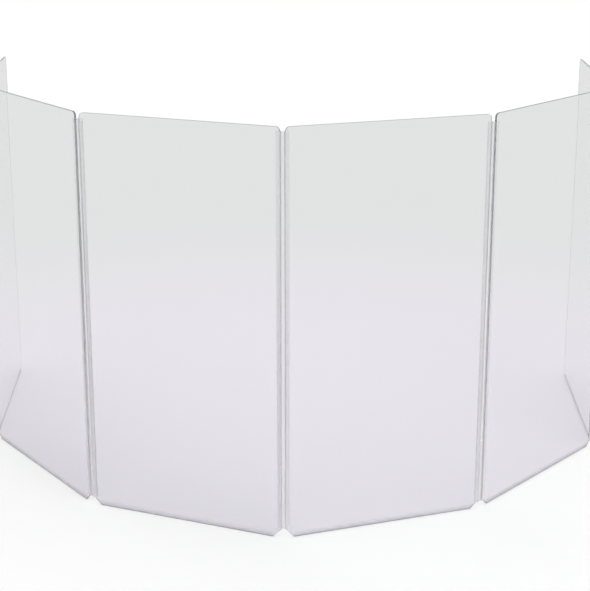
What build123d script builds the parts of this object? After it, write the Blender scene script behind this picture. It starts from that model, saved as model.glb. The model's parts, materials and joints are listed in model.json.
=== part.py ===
"""Folding acoustic screen of six clear acrylic panels, joined edge to edge by five full-length clear hinges.

Frame: +Z up, the audience side faces -Y, and the origin is on the floor at the middle of the screen's footprint.
Panels and hinges are numbered from the audience's left to right.
"""
import os

from build123d import *

# Panels: 24 x 48 inch sheets of nominal quarter-inch cast acrylic
panel_width = 24 * IN
panel_height = 48 * IN
sheet_thickness = 6.0
edge_arris = 0.5
top_corner_radius = 0.5 * IN
cable_cut = 1.0 * IN

# Hinges: a rigid U-channel pushed on each of the two edges, with a flexible web between them
channel_grip = 10.0
channel_spine = 1.8
channel_lip = 1.25
channel_corner_radius = 0.8
lip_lead_in = 0.4
sheet_clearance = 0.05
bend_offset = 0.95
bend_spacing = 9.7
web_thickness = 1.6
web_clearance = 0.5
hinge_length = 1178.0
hinge_bottoms = [24.0, 23.0, 29.0, 19.0, 25.0]

# Stance: the first panel's heading from +X, and how far the screen turns inwards at each hinge, in degrees
first_heading = -86.0
hinge_turns = [35.5, 30.5, 37.5, 28.0, 41.5]

# Worked out from the driving dimensions
slot_width = sheet_thickness + 2 * sheet_clearance
channel_width = slot_width + 2 * channel_lip
edge_to_bend = sheet_clearance + channel_spine + bend_offset
web_core = bend_spacing - 2 * (web_clearance + web_thickness / 2 - bend_offset)


def along(heading):
    """Unit vector along a heading, given in degrees anticlockwise from +X."""
    return Vector(1, 0, 0).rotate(Axis.Z, heading)


def across(heading):
    """Unit vector to the audience's side of a heading."""
    return along(heading).cross(Vector(0, 0, 1))


def walk_plan():
    """Walk the screen from its left free edge to its right one.

    Returns the headings of the panels, and in plan the left edge of each panel and the two ends of each hinge line.
    """
    headings = [first_heading]
    for turn in hinge_turns:
        headings.append(headings[-1] + turn)
    starts = [Vector(0, 0, 0)]
    bends = []
    for left, right in zip(headings, headings[1:]):
        left_bend = starts[-1] + along(left) * (panel_width + edge_to_bend)
        right_bend = left_bend + along((left + right) / 2) * bend_spacing
        bends.append((left_bend, right_bend))
        starts.append(right_bend + along(right) * edge_to_bend)
    return headings, starts, bends


def footprint_centre(headings, starts):
    """Middle of the plan's bounding box, over the corners of the sheets and of the channels."""
    overhang = sheet_clearance + channel_spine - channel_corner_radius
    reaches = (
        (0, sheet_thickness / 2),
        (panel_width, sheet_thickness / 2),
        (-overhang, channel_width / 2),
        (panel_width + overhang, channel_width / 2),
    )
    corners = []
    for heading, start in zip(headings, starts):
        for reach, half_width in reaches:
            for side in (-1, 1):
                corners.append(start + along(heading) * reach + across(heading) * side * half_width)
    xs = [corner.X for corner in corners]
    ys = [corner.Y for corner in corners]
    return Vector((min(xs) + max(xs)) / 2, (min(ys) + max(ys)) / 2, 0)


def save(builder, name):
    """Label the finished piece and write its STEP file."""
    builder.part.label = name
    export_step(builder.part, f"parts/{name}.step")


def make_panel(name, start, heading):
    """One sheet: rounded top corners, cut bottom corners that leave cable notches, and a fine arris all round."""
    with BuildPart() as panel:
        with BuildSketch(Plane(start, x_dir=along(heading), z_dir=across(heading))) as outline:
            Rectangle(panel_width, panel_height, align=(Align.MIN, Align.MIN))
            fillet(outline.vertices().sort_by(Axis.Y)[-2:], top_corner_radius)
            chamfer(outline.vertices().sort_by(Axis.Y)[:2], cable_cut)
        extrude(amount=sheet_thickness / 2, both=True)
        chamfer(panel.faces().sort_by(SortBy.AREA)[-2:].edges(), edge_arris)
    save(panel, name)


def make_channel(name, bend, towards_sheet, bottom):
    """One rigid U-channel, drawn in plan with its end of the hinge line at the origin and the sheet along +X."""
    with BuildPart() as channel:
        with BuildSketch(Plane(bend + Vector(0, 0, bottom), x_dir=towards_sheet, z_dir=(0, 0, 1))) as profile:
            with Locations((bend_offset, 0)):
                depth = channel_spine + sheet_clearance + channel_grip
                Rectangle(depth, channel_width, align=(Align.MIN, Align.CENTER))
                fillet(profile.vertices().sort_by(Axis.X)[:2], channel_corner_radius)
            with Locations((bend_offset + channel_spine, 0)):
                Rectangle(depth, slot_width, align=(Align.MIN, Align.CENTER), mode=Mode.SUBTRACT)
            mouth = profile.vertices().group_by(Axis.X)[-1].sort_by(Axis.Y)[1:3]
            chamfer(mouth, lip_lead_in)
        extrude(amount=hinge_length)
    save(channel, name)


def make_web(name, left_bend, right_bend, bottom):
    """One flexible web, centred on the hinge's upright axis, with round edges next to the channels' spines."""
    middle = (left_bend + right_bend) / 2 + Vector(0, 0, bottom)
    with BuildPart() as web:
        with BuildSketch(Plane(middle, x_dir=right_bend - left_bend, z_dir=(0, 0, 1))):
            SlotCenterToCenter(web_core, web_thickness)
        extrude(amount=hinge_length)
    save(web, name)


os.makedirs("parts", exist_ok=True)
panel_headings, panel_starts, hinge_bends = walk_plan()
shift = footprint_centre(panel_headings, panel_starts) * -1

# Panels
for number, (panel_start, panel_heading) in enumerate(zip(panel_starts, panel_headings), 1):
    make_panel(f"panel_{number}", panel_start + shift, panel_heading)

# Hinges
for number, (left, right) in enumerate(hinge_bends, 1):
    left_point = left + shift
    right_point = right + shift
    hinge_bottom = hinge_bottoms[number - 1]
    make_channel(f"hinge_{number}_left_channel", left_point, along(panel_headings[number - 1]) * -1, hinge_bottom)
    make_web(f"hinge_{number}_web", left_point, right_point, hinge_bottom)
    make_channel(f"hinge_{number}_right_channel", right_point, along(panel_headings[number]), hinge_bottom)
    print(f"hinge {number} axis", (left_point + right_point) / 2)
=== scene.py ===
"""Dressed model of a folding acoustic screen: six clear acrylic sheets joined by five clear extruded hinges.

Every length is in metres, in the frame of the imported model: +Z up, the audience side at -Y, and the origin
on the floor at the middle of the screen's footprint.
"""

import json
import logging
import math
from dataclasses import dataclass
from enum import Enum
from typing import Any

import bpy
import numpy as np
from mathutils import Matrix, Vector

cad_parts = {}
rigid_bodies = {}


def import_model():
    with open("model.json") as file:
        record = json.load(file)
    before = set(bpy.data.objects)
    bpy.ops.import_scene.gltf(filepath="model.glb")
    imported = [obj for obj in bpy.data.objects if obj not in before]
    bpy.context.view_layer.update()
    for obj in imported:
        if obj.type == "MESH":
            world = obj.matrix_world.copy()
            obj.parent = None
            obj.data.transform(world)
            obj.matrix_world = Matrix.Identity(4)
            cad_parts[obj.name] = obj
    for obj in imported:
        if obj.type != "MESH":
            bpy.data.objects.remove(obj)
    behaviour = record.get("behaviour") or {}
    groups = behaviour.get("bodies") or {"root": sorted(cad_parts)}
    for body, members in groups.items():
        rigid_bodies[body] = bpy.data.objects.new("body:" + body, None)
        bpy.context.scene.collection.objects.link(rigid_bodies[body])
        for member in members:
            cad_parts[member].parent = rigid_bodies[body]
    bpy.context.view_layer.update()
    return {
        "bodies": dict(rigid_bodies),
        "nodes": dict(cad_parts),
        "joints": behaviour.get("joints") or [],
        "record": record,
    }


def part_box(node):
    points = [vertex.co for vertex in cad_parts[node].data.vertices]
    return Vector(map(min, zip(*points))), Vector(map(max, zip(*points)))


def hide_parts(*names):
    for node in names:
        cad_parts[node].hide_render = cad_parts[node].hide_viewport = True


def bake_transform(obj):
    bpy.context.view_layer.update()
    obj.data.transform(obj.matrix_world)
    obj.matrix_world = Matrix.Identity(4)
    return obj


LOG = logging.getLogger("acoustic_screen")

MM = 0.001
NEAR_FLAT = 0.97  # cosine under which a face no longer counts as square to a direction

Colour = tuple[float, float, float, float]


class Strip(Enum):
    """The two rigid strips of a hinge, by the side of the web that they are on."""

    LEFT = "left_channel"
    RIGHT = "right_channel"


def linear(hex_colour: str) -> Colour:
    """Turn an sRGB hex colour into the linear one that a shader takes.

    Args:
        hex_colour: six hex digits after a hash sign.

    Returns:
        Red, green, blue and an alpha of 1.
    """
    shares = [int(hex_colour[i:i + 2], 16) / 255 for i in (1, 3, 5)]
    red, green, blue = (s / 12.92 if s <= 0.04045 else ((s + 0.055) / 1.055) ** 2.4 for s in shares)
    return red, green, blue, 1.0


def add_node(tree: bpy.types.NodeTree, kind: str, settings: dict[str, Any] | None = None,
             inputs: dict[Any, Any] | None = None) -> bpy.types.Node:
    """Add one node with its settings, values and links.

    Args:
        tree: the node tree that takes it.
        kind: Blender's name of the node's type.
        settings: properties of the node by name.
        inputs: for an input's name or number, a socket to link from or a value to set.

    Returns:
        The new node.
    """
    node = tree.nodes.new(kind)
    for name, value in (settings or {}).items():
        setattr(node, name, value)
    for name, value in (inputs or {}).items():
        if isinstance(value, bpy.types.NodeSocket):
            tree.links.new(value, node.inputs[name])
        else:
            node.inputs[name].default_value = value
    return node


def new_material(name: str) -> tuple[bpy.types.Material, bpy.types.NodeTree]:
    """Make an empty node material.

    Args:
        name: what the material is and how it was made.

    Returns:
        The material and its node tree.
    """
    material = bpy.data.materials.new(name)
    material.use_nodes = True
    material.node_tree.nodes.clear()
    return material, material.node_tree


def finish_clear(tree: bpy.types.NodeTree, surface: bpy.types.NodeSocket,
                 shade: bpy.types.NodeSocket | Colour, absorb: str, density: float) -> None:
    """End a clear plastic's tree: light passes straight on to the shadow, and long ways through it darken.

    Args:
        tree: the material's node tree.
        surface: the shader that the eye sees.
        shade: what one skin of the plastic lets through to a shadow, as a linear colour or a socket.
        absorb: the colour that is left after a long way through the plastic.
        density: how fast that happens, per metre.
    """
    path = add_node(tree, "ShaderNodeLightPath")
    through = add_node(tree, "ShaderNodeBsdfTransparent", inputs={"Color": shade})
    mixed = add_node(tree, "ShaderNodeMixShader", inputs={
        0: path.outputs["Is Shadow Ray"], 1: surface, 2: through.outputs[0]})
    inside = add_node(tree, "ShaderNodeVolumeAbsorption", inputs={
        "Color": linear(absorb), "Density": density})
    add_node(tree, "ShaderNodeOutputMaterial", inputs={
        "Surface": mixed.outputs[0], "Volume": inside.outputs[0]})


@dataclass(frozen=True)
class CastAcrylic:
    """Clear cast acrylic sheet, poured between glass plates, sawn to size and scraped smooth along the edges.

    The faces are as smooth as the plates, with the long shallow wave that casting leaves. The edges are a
    little frosted by the cutter, and their grey is painted shade for the dark lines that the edges show.
    The lowest two centimetres carry scuffs from stage floors, with painted contact shade darkening them
    towards the floor, darkest on the bottom edge, and throw a faint shadow along the foot. The cutter's marks
    and the scratches are drawn about three times as coarse as they are, to show.
    """

    tint: str = "#FCFDFD"
    # Edge colour and its share: the frosted cut, with painted shade greying it into the dark lines that the
    # edges show.
    edge_frost_and_shade_tint: str = "#C0C1C4"
    edge_frost_and_shade_share: float = 0.45
    edge_roughness: float = 0.34
    edge_roughness_swing: float = 0.3
    # Foot colour and its share: painted contact shade on the edges in the lowest band, darkest on the bottom
    # edge, over real scuffing.
    foot_frost_and_shade_tint: str = "#9A9B9F"
    foot_frost_and_shade_share: float = 0.4
    # Scuff colour and its share: real scuffs, with painted contact shade that darkens the faces towards the
    # floor.
    scuff_and_shade_tint: str = "#E2E1E5"
    scuff_and_shade_share: float = 0.18
    scuff_roughness: float = 0.25
    scuff_and_shade_height_mm: float = 20.0
    scratch_mm: float = 2.5
    scratch_length_mm: float = 30.0
    scratched_from: float = 0.3
    scratched_full: float = 0.6
    least_scuff: float = 0.5
    ior: float = 1.49
    wave_length_mm: float = 240.0
    wave_height_mm: float = 0.02
    cutter_mark_mm: float = 1.2
    shade: str = "#FAFBFB"
    foot_shade: str = "#B0B0B4"
    absorb: str = "#C6CCD0"
    density: float = 0.5

    def make(self, name: str, facing: tuple[float, float, float]) -> bpy.types.Material:
        """Build the finish for one sheet.

        Args:
            name: the material's name.
            facing: the unit normal of the sheet's two faces.

        Returns:
            The material.
        """
        material, tree = new_material(name)
        where = add_node(tree, "ShaderNodeTexCoord")
        lean = add_node(tree, "ShaderNodeVectorMath", {"operation": "DOT_PRODUCT"},
                        {0: where.outputs["Normal"], 1: facing})
        flat = add_node(tree, "ShaderNodeMath", {"operation": "ABSOLUTE"}, {0: lean.outputs["Value"]})
        edge = add_node(tree, "ShaderNodeMath", {"operation": "LESS_THAN"}, {
            0: flat.outputs[0], 1: NEAR_FLAT})
        marks = add_node(tree, "ShaderNodeTexNoise", inputs={
            "Vector": where.outputs["Object"], "Scale": 1 / (self.cutter_mark_mm * MM), "Detail": 2.0})
        place = add_node(tree, "ShaderNodeSeparateXYZ", inputs={0: where.outputs["Object"]})
        # Band along the foot, full at the floor: it carries the scuffs, the painted contact shade and the
        # foot's shadow.
        low = add_node(tree, "ShaderNodeMapRange", {"interpolation_type": "SMOOTHSTEP"}, {
            "Value": place.outputs["Z"], "From Min": self.scuff_and_shade_height_mm * MM, "From Max": 0.0})
        along, up = 1 / (self.scratch_length_mm * MM), 1 / (self.scratch_mm * MM)
        drawn = add_node(tree, "ShaderNodeMapping", inputs={
            "Vector": where.outputs["Object"], "Scale": (along, along, up)})
        scratches = add_node(tree, "ShaderNodeTexNoise", inputs={
            "Vector": drawn.outputs[0], "Scale": 1.0, "Detail": 3.0})
        worn = add_node(tree, "ShaderNodeMapRange", inputs={
            "Value": scratches.outputs["Fac"], "From Min": self.scratched_from,
            "From Max": self.scratched_full, "To Min": self.least_scuff})
        # Scratch streaks in the band, where the scuffs and the painted contact shade lie.
        scuff_and_shade_mask = add_node(tree, "ShaderNodeMath", {"operation": "MULTIPLY"}, {
            0: low.outputs[0], 1: worn.outputs[0]})
        roughness = add_node(tree, "ShaderNodeMix", {"data_type": "FLOAT"}, {
            0: edge.outputs[0], 2: self.rise(tree, scuff_and_shade_mask, 0.0, self.scuff_roughness),
            3: self.rise(tree, marks, self.edge_roughness * (1 - self.edge_roughness_swing),
                         self.edge_roughness * (1 + self.edge_roughness_swing))})
        clearness = add_node(tree, "ShaderNodeMix", {"data_type": "FLOAT"}, {
            0: edge.outputs[0], 2: self.rise(tree, scuff_and_shade_mask, 1.0, 1 - self.scuff_and_shade_share),
            3: self.rise(tree, low, 1 - self.edge_frost_and_shade_share, 1 - self.edge_frost_and_shade_share - self.foot_frost_and_shade_share)})
        # Faces: their tint, greyed towards the floor by scuffs and painted contact shade.
        face = add_node(tree, "ShaderNodeMix", {"data_type": "RGBA"}, {
            0: scuff_and_shade_mask.outputs[0], 6: linear(self.tint), 7: linear(self.scuff_and_shade_tint)})
        # Rim: the edges' painted-shade grey, turning into the darker painted contact shade of the foot within
        # the lowest band.
        rim = add_node(tree, "ShaderNodeMix", {"data_type": "RGBA"}, {
            0: low.outputs[0], 6: linear(self.edge_frost_and_shade_tint), 7: linear(self.foot_frost_and_shade_tint)})
        # Edges take the rim's painted-shade grey; faces take their own tint, with painted contact shade near
        # the floor.
        colour = add_node(tree, "ShaderNodeMix", {"data_type": "RGBA"}, {
            0: edge.outputs[0], 6: face.outputs[2], 7: rim.outputs[2]})
        wave = add_node(tree, "ShaderNodeTexNoise", inputs={
            "Vector": where.outputs["Object"], "Scale": 1 / (self.wave_length_mm * MM), "Detail": 1.0})
        relief = add_node(tree, "ShaderNodeBump", inputs={
            "Height": wave.outputs["Fac"], "Distance": self.wave_height_mm * MM, "Strength": 1.0})
        body = add_node(tree, "ShaderNodeBsdfPrincipled", inputs={
            "Base Color": colour.outputs[2], "Roughness": roughness.outputs[0], "IOR": self.ior,
            "Transmission Weight": clearness.outputs[0], "Normal": relief.outputs[0]})
        shade = add_node(tree, "ShaderNodeMix", {"data_type": "RGBA"}, {
            0: low.outputs[0], 6: linear(self.shade), 7: linear(self.foot_shade)})
        finish_clear(tree, body.outputs[0], shade.outputs[2], self.absorb, self.density)
        return material

    def rise(self, tree: bpy.types.NodeTree, source: bpy.types.Node, low: float,
             high: float) -> bpy.types.NodeSocket:
        """Spread a node's first output, from 0 to 1, over a range.

        Args:
            tree: the material's node tree.
            source: the node whose output is spread.
            low: the value at 0.
            high: the value at 1.

        Returns:
            The socket with the spread value.
        """
        return add_node(tree, "ShaderNodeMapRange", inputs={
            "Value": source.outputs[0], "To Min": low, "To Max": high}).outputs[0]


@dataclass(frozen=True)
class ExtrudedPvc:
    """Clear extruded PVC: a little cloudy, with fine die lines along its length and saw-cut ends.

    What stands behind it is seen, but washed out, and the die lines smear its highlights into long streaks.
    Stage dust makes it cloudier towards the floor, up to a metre above it. The die lines are drawn several
    times as far apart as they are, to show.
    """

    tint: str
    cloud_at_top: float
    cloud_at_floor: float
    roughness: float
    roughness_swing: float = 0.25
    dust_height: float = 1.0
    ior: float = 1.53
    die_line_mm: float = 0.9
    die_line_length_mm: float = 350.0
    die_line_height_mm: float = 0.03
    die_line_strength: float = 0.6
    saw_roughness: float = 0.55
    shade: str = "#F6F6F8"
    absorb: str = "#C8CACE"
    density: float = 1.0

    def make(self, name: str, by_width: bool) -> bpy.types.Material:
        """Build the finish for one kind of strip.

        Args:
            name: the material's name.
            by_width: True if the die lines follow the strip's own UV map, because the strip bends.

        Returns:
            The material.
        """
        material, tree = new_material(name)
        where = add_node(tree, "ShaderNodeTexCoord")
        across, length = 1 / (self.die_line_mm * MM), 1 / (self.die_line_length_mm * MM)
        stretch = (across, length, 1.0) if by_width else (across, across, length)
        laid = add_node(tree, "ShaderNodeMapping", inputs={
            "Vector": where.outputs["UV" if by_width else "Object"], "Scale": stretch})
        lines = add_node(tree, "ShaderNodeTexNoise", inputs={
            "Vector": laid.outputs[0], "Scale": 1.0, "Detail": 2.0})
        upright = add_node(tree, "ShaderNodeSeparateXYZ", inputs={0: where.outputs["Normal"]})
        end_on = add_node(tree, "ShaderNodeMath", {"operation": "ABSOLUTE"}, {0: upright.outputs["Z"]})
        cut = add_node(tree, "ShaderNodeMath", {"operation": "GREATER_THAN"}, {
            0: end_on.outputs[0], 1: NEAR_FLAT})
        drawn = add_node(tree, "ShaderNodeMapRange", inputs={
            "Value": lines.outputs["Fac"], "To Min": self.roughness * (1 - self.roughness_swing),
            "To Max": self.roughness * (1 + self.roughness_swing)})
        roughness = add_node(tree, "ShaderNodeMix", {"data_type": "FLOAT"}, {
            0: cut.outputs[0], 2: drawn.outputs[0], 3: self.saw_roughness})
        place = add_node(tree, "ShaderNodeSeparateXYZ", inputs={0: where.outputs["Object"]})
        clearness = add_node(tree, "ShaderNodeMapRange", inputs={
            "Value": place.outputs["Z"], "From Max": self.dust_height,
            "To Min": 1 - self.cloud_at_floor, "To Max": 1 - self.cloud_at_top})
        relief = add_node(tree, "ShaderNodeBump", inputs={
            "Height": lines.outputs["Fac"], "Distance": self.die_line_height_mm * MM,
            "Strength": self.die_line_strength})
        body = add_node(tree, "ShaderNodeBsdfPrincipled", inputs={
            "Base Color": linear(self.tint), "Roughness": roughness.outputs[0], "IOR": self.ior,
            "Transmission Weight": clearness.outputs[0], "Normal": relief.outputs[0]})
        finish_clear(tree, body.outputs[0], linear(self.shade), self.absorb, self.density)
        return material


RIGID_PVC = ExtrudedPvc(tint="#FCFCFD", cloud_at_top=0.1, cloud_at_floor=0.45, roughness=0.12)
FLEXIBLE_PVC = ExtrudedPvc(tint="#FCFCFD", cloud_at_top=0.06, cloud_at_floor=0.32, roughness=0.1)


@dataclass(frozen=True)
class Heading:
    """A direction in plan, in degrees anticlockwise from +X."""

    degrees: float

    @property
    def along(self) -> np.ndarray:
        """Unit vector of the heading in plan."""
        return np.array([math.cos(math.radians(self.degrees)), math.sin(math.radians(self.degrees))])

    @property
    def across(self) -> np.ndarray:
        """Unit vector in plan to the audience's side of the heading."""
        return np.array([self.along[1], -self.along[0]])


def prism(outlines: np.ndarray, heights: np.ndarray) -> tuple[np.ndarray, list[list[int]]]:
    """Stack closed outlines into a solid with a face at each end.

    A point of the surface is outline (row, column) raised to the row's height. Each quad joins a column to
    the next one, counted round the loop, and a row to the row above.

    Args:
        outlines: plan points in order anticlockwise, as rows x columns x 2.
        heights: one height for each row.

    Returns:
        The vertices, and the faces with their normals outwards.
    """
    rows, columns = outlines.shape[:2]
    lifted = np.broadcast_to(heights[:, None, None], (rows, columns, 1))
    vertices = np.concatenate([outlines, lifted], axis=2).reshape(-1, 3)
    here = np.arange(rows * columns).reshape(rows, columns)
    beside = np.roll(here, -1, axis=1)
    quads = np.stack([here[:-1], beside[:-1], beside[1:], here[1:]], axis=-1).reshape(-1, 4)
    faces = quads.tolist() + [here[0, ::-1].tolist(), here[-1].tolist()]
    return vertices, faces


def new_piece(name: str, vertices: np.ndarray, faces: list[list[int]], material: bpy.types.Material,
              uv: np.ndarray | None = None) -> bpy.types.Object:
    """Make a mesh object at the origin and link it to the scene.

    Args:
        name: the piece's name.
        vertices: one row of three coordinates for each vertex.
        faces: vertex numbers of each face.
        material: its finish.
        uv: one row of two numbers for each vertex, in metres along the surface.

    Returns:
        The new object.
    """
    mesh = bpy.data.meshes.new(name)
    mesh.from_pydata(vertices, [], faces)
    if uv is not None:
        corners = np.zeros(len(mesh.loops), np.int32)
        mesh.loops.foreach_get("vertex_index", corners)
        mesh.uv_layers.new(name="along_strip").data.foreach_set("uv", uv[corners].astype(np.float32).ravel())
    mesh.materials.append(material)
    mesh.update()
    piece = bpy.data.objects.new(name, mesh)
    bpy.context.scene.collection.objects.link(piece)
    return piece


@dataclass
class Sheet:
    """One acrylic sheet of the screen, kept as the CAD model has it."""

    number: int
    heading: Heading
    finish: CastAcrylic = CastAcrylic()

    @property
    def node(self) -> str:
        """The sheet's node, which is also its body."""
        return f"panel_{self.number}"

    def dress(self, nodes: dict[str, bpy.types.Object]) -> None:
        """Give the sheet's node its finish.

        Args:
            nodes: the CAD objects by name.
        """
        across = self.heading.across
        facing = (float(across[0]), float(across[1]), 0.0)
        material = self.finish.make(f"cast_acrylic_sheet_{self.number}", facing)
        for place in nodes[self.node].material_slots:
            place.material = material
        LOG.info("%s: cast acrylic, facing %.3f %.3f", self.node, facing[0], facing[1])


@dataclass
class Hinge:
    """One full-length hinge: two rigid strips on the sheets' edges and the flexible web between them."""

    number: int
    left: Heading
    right: Heading
    bend_spacing: float = 9.7 * MM
    bend_offset: float = 0.95 * MM
    root_depth: float = 0.25 * MM
    root_half: float = 1.5 * MM
    waist_half: float = 0.62 * MM
    cut_arris: float = 0.25 * MM
    steps: int = 32

    @property
    def web_node(self) -> str:
        """The web's node in the CAD model."""
        return f"hinge_{self.number}_web"

    @property
    def bodies(self) -> tuple[str, str]:
        """The bodies on the web's left and right."""
        return f"panel_{self.number}", f"panel_{self.number + 1}"

    def spines(self, axis: np.ndarray) -> tuple[np.ndarray, np.ndarray]:
        """Where the web meets the left and right strips in plan.

        From the hinge's axis it is half the bend spacing along the mean heading, then the bend offset along
        each sheet's own heading.

        Args:
            axis: the hinge's axis in plan.

        Returns:
            The middle of the left strip's spine and that of the right one.
        """
        mean = Heading((self.left.degrees + self.right.degrees) / 2).along
        half = mean * self.bend_spacing / 2
        left = axis - half - self.left.along * self.bend_offset
        right = axis + half + self.right.along * self.bend_offset
        return left, right

    def web_outline(self, start: np.ndarray, end: np.ndarray) -> tuple[np.ndarray, np.ndarray]:
        """Outline of the bent web in plan.

        Its middle line is the cubic Bezier curve that leaves one spine square and meets the other one
        square, with handles a third of the gap long. Its half thickness is the waist plus the root's excess
        times the eighth power of the distance from the middle, which flares the web where it is fused to
        the spines.

        Args:
            start: where the middle line starts, inside the left spine.
            end: where it ends, inside the right spine.

        Returns:
            The outline anticlockwise as columns x 2, and the distance along the web of each column.
        """
        t = np.linspace(0.0, 1.0, self.steps + 1)[:, None]
        reach = np.linalg.norm(end - start) / 3
        points = np.stack([start, start + self.left.along * reach, end - self.right.along * reach, end])
        weights = np.hstack([(1 - t) ** 3, 3 * t * (1 - t) ** 2, 3 * t ** 2 * (1 - t), t ** 3])
        line = weights @ points
        slope = np.gradient(line, axis=0)
        slope /= np.linalg.norm(slope, axis=1, keepdims=True)
        normal = np.stack([slope[:, 1], -slope[:, 0]], axis=1)
        half = self.waist_half + (self.root_half - self.waist_half) * (2 * t - 1) ** 8
        run = np.concatenate([[0.0], np.cumsum(np.linalg.norm(np.diff(line, axis=0), axis=1))])
        outline = np.concatenate([line + normal * half, (line - normal * half)[::-1]])
        return outline, np.concatenate([run, run[::-1]])

    def build_web(self, frame: dict[str, Any], material: bpy.types.Material) -> bpy.types.Object:
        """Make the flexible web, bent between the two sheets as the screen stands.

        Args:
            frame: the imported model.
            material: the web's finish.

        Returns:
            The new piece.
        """
        joint = next(j for j in frame["joints"] if j["name"] == f"hinge_{self.number}_fold")
        low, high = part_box(self.web_node)
        left, right = self.spines(np.array(joint["pos_m"][:2]))
        start = left - self.left.along * self.root_depth
        end = right + self.right.along * self.root_depth
        outline, run = self.web_outline(start, end)
        middle = outline.mean(axis=0)
        inset = middle + (outline - middle) * (1 - self.cut_arris / self.bend_spacing)
        outlines = np.stack([inset, outline, outline, inset])
        heights = np.array([low[2], low[2] + self.cut_arris, high[2] - self.cut_arris, high[2]])
        vertices, faces = prism(outlines, heights)
        uv = np.stack([np.tile(run, len(heights)), np.repeat(heights, len(run))], axis=1)
        web = new_piece(f"hinge_{self.number}_bent_web", vertices, faces, material, uv)
        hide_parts(self.web_node)
        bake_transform(web)
        return web

    def dress(self, frame: dict[str, Any], nodes: dict[str, bpy.types.Object], rigid: bpy.types.Material,
              flexible: bpy.types.Material) -> None:
        """Finish the two strips and make the web.

        Args:
            frame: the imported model.
            nodes: the CAD objects by name.
            rigid: the strips' finish.
            flexible: the web's finish.
        """
        for strip in Strip:
            for place in nodes[f"hinge_{self.number}_{strip.value}"].material_slots:
                place.material = rigid
        web = self.build_web(frame, flexible)
        LOG.info("%s: %d vertices, bends between %s and %s", web.name, len(web.data.vertices), *self.bodies)


@dataclass
class Screen:
    """The whole screen: its sheets and hinges, in the stance of the photograph."""

    first_heading: float = -86.0
    turns: tuple[float, ...] = (35.5, 30.5, 37.5, 28.0, 41.5)

    def headings(self) -> list[Heading]:
        """The heading of each sheet, from the first one and the turns at the hinges."""
        turned = np.concatenate([[0.0], np.cumsum(self.turns)])
        return [Heading(float(degrees)) for degrees in self.first_heading + turned]

    def dress(self, frame: dict[str, Any]) -> None:
        """Dress the sheets and the hinges.

        Args:
            frame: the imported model.
        """
        nodes = {name: bpy.data.objects[name] for name in frame["nodes"]}
        headings = self.headings()
        for number, heading in enumerate(headings, 1):
            Sheet(number, heading).dress(nodes)
        rigid = RIGID_PVC.make("rigid_pvc_extrusion", by_width=False)
        flexible = FLEXIBLE_PVC.make("flexible_pvc_extrusion", by_width=True)
        for number, (left, right) in enumerate(zip(headings, headings[1:]), 1):
            Hinge(number, left, right).dress(frame, nodes, rigid, flexible)


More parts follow.
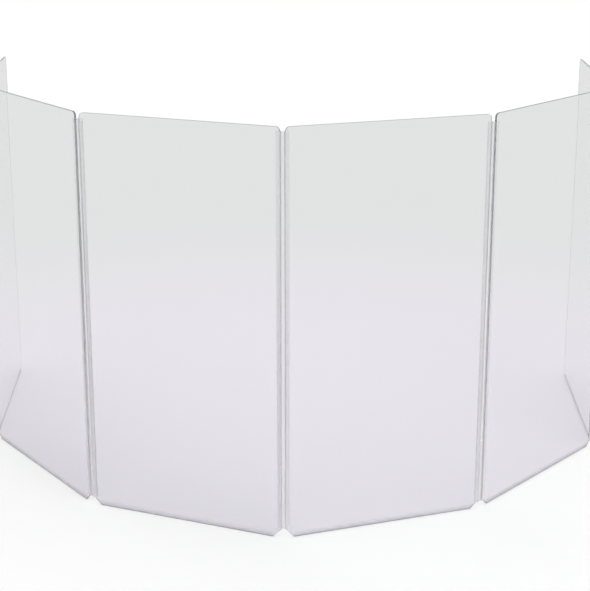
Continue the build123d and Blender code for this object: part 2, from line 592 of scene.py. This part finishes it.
@dataclass
class Studio:
    """Plain pale floor, white surround, soft lamps and the camera."""

    near_paint: str = "#EAE6ED"
    far_paint: str = "#E3E3E3"
    near_reach: float = 1.0
    far_reach: float = 3.2
    surround: str = "#FFFFFF"
    seen_through: str = "#E5E5E5"
    ceiling: str = "#6E7074"
    ceiling_from: float = 16.0
    ceiling_full: float = 40.0
    fill: float = 0.72
    floor_radius: float = 60.0
    floor_sides: int = 96
    floor_drop: float = 0.3 * MM
    lens_mm: float = 79.037
    camera_place: tuple[float, float, float] = (0.0142, -4.0710, 1.9059)
    camera_tilt: float = 75.882
    shift: float = -0.18

    def build_world(self) -> None:
        """White to the camera, an even fill, and the studio's pale tone in clear and glossy plastic.

        That tone falls off to a dim ceiling from a given height above the horizon, which only the sheets'
        feet and top edges catch. Rays that the floor has spread get the even fill instead.
        """
        world = bpy.data.worlds.new("studio_surround")
        bpy.context.scene.world = world
        world.use_nodes = True
        tree = world.node_tree
        tree.nodes.clear()
        path = add_node(tree, "ShaderNodeLightPath")
        clear = add_node(tree, "ShaderNodeMath", {"operation": "MAXIMUM"}, {
            0: path.outputs["Is Glossy Ray"], 1: path.outputs["Is Transmission Ray"]})
        shiny = add_node(tree, "ShaderNodeMath", {"operation": "SUBTRACT", "use_clamp": True}, {
            0: clear.outputs[0], 1: path.outputs["Diffuse Depth"]})
        even = (self.fill, self.fill, self.fill, 1.0)
        where = add_node(tree, "ShaderNodeTexCoord")
        looking = add_node(tree, "ShaderNodeSeparateXYZ", inputs={0: where.outputs["Generated"]})
        above = add_node(tree, "ShaderNodeMapRange", {"interpolation_type": "SMOOTHSTEP"}, {
            "Value": looking.outputs["Z"], "From Min": math.sin(math.radians(self.ceiling_from)),
            "From Max": math.sin(math.radians(self.ceiling_full))})
        room = add_node(tree, "ShaderNodeMix", {"data_type": "RGBA"}, {
            0: above.outputs[0], 6: linear(self.seen_through), 7: linear(self.ceiling)})
        tone = add_node(tree, "ShaderNodeMix", {"data_type": "RGBA"}, {
            0: shiny.outputs[0], 6: even, 7: room.outputs[2]})
        seen = add_node(tree, "ShaderNodeMix", {"data_type": "RGBA"}, {
            0: path.outputs["Is Camera Ray"], 6: tone.outputs[2], 7: linear(self.surround)})
        light = add_node(tree, "ShaderNodeBackground", inputs={"Color": seen.outputs[2], "Strength": 1.0})
        add_node(tree, "ShaderNodeOutputWorld", inputs={"Surface": light.outputs[0]})

    def build_floor(self) -> bpy.types.Object:
        """Round painted floor that the camera sees as white, apart from the shadows on it.

        It lies a hair under the sheets, so that their feet are seen and not the floor in their place.

        Returns:
            The floor.
        """
        material, tree = new_material("painted_studio_floor")
        where = add_node(tree, "ShaderNodeTexCoord")
        path = add_node(tree, "ShaderNodeLightPath")
        away = add_node(tree, "ShaderNodeVectorMath", {"operation": "LENGTH"}, {0: where.outputs["Object"]})
        far = add_node(tree, "ShaderNodeMapRange", {"interpolation_type": "SMOOTHSTEP"}, {
            "Value": away.outputs["Value"], "From Min": self.near_reach, "From Max": self.far_reach})
        paint = add_node(tree, "ShaderNodeMix", {"data_type": "RGBA"}, {
            0: far.outputs[0], 6: linear(self.near_paint), 7: linear(self.far_paint)})
        coat = add_node(tree, "ShaderNodeBsdfDiffuse", inputs={"Color": paint.outputs[2]})
        rest = add_node(tree, "ShaderNodeMix", {"data_type": "RGBA", "blend_type": "DIFFERENCE"}, {
            0: 1.0, 6: (1.0, 1.0, 1.0, 1.0), 7: paint.outputs[2]})
        glow = add_node(tree, "ShaderNodeEmission", inputs={
            "Color": rest.outputs[2], "Strength": path.outputs["Is Camera Ray"]})
        both = add_node(tree, "ShaderNodeAddShader", inputs={0: coat.outputs[0], 1: glow.outputs[0]})
        add_node(tree, "ShaderNodeOutputMaterial", inputs={"Surface": both.outputs[0]})
        turn = np.linspace(0.0, math.tau, self.floor_sides, endpoint=False)
        level = np.full_like(turn, -self.floor_drop / self.floor_radius)
        rim = np.stack([np.cos(turn), np.sin(turn), level], axis=1) * self.floor_radius
        floor = new_piece("studio_floor", rim, [list(range(len(turn)))], material)
        return floor

    def build_lamp(self, name: str, azimuth: float, elevation: float, strength: float,
                   spread: float) -> None:
        """Add one broad soft lamp far away, so that it lights the whole floor alike.

        Args:
            name: the lamp's name.
            azimuth: where it stands round the screen, in degrees anticlockwise from +X.
            elevation: its height above the floor, in degrees.
            strength: its light on a surface that faces it.
            spread: how wide it looks from the screen, in degrees.
        """
        light = bpy.data.lights.new(name, "SUN")
        light.energy = strength
        light.angle = math.radians(spread)
        lamp = bpy.data.objects.new(name, light)
        lamp.rotation_euler = (math.radians(90 - elevation), 0.0, math.radians(azimuth + 90))
        bpy.context.scene.collection.objects.link(lamp)

    def build_camera(self) -> None:
        """Set the camera as the photograph has it."""
        data = bpy.data.cameras.new("camera")
        data.sensor_width = 36.0
        data.lens = self.lens_mm
        data.shift_y = self.shift
        camera = bpy.data.objects.new("camera", data)
        camera.location = self.camera_place
        camera.rotation_euler = (math.radians(self.camera_tilt), 0.0, 0.0)
        bpy.context.scene.collection.objects.link(camera)
        bpy.context.scene.camera = camera

    def build(self) -> None:
        """Build the camera, the surround, the floor and the lamps."""
        self.build_camera()
        self.build_world()
        self.build_floor()
        self.build_lamp("key_lamp", azimuth=-55.0, elevation=52.0, strength=0.75, spread=40.0)
        self.build_lamp("rear_lamp", azimuth=130.0, elevation=58.0, strength=0.4, spread=40.0)
        bpy.context.scene.view_settings.view_transform = "Standard"


def main() -> None:
    """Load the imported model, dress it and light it."""
    logging.basicConfig(level=logging.INFO, format="%(name)s %(message)s")
    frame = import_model()
    Studio().build()
    Screen().dress(frame)


if __name__ == "__main__":
    main()
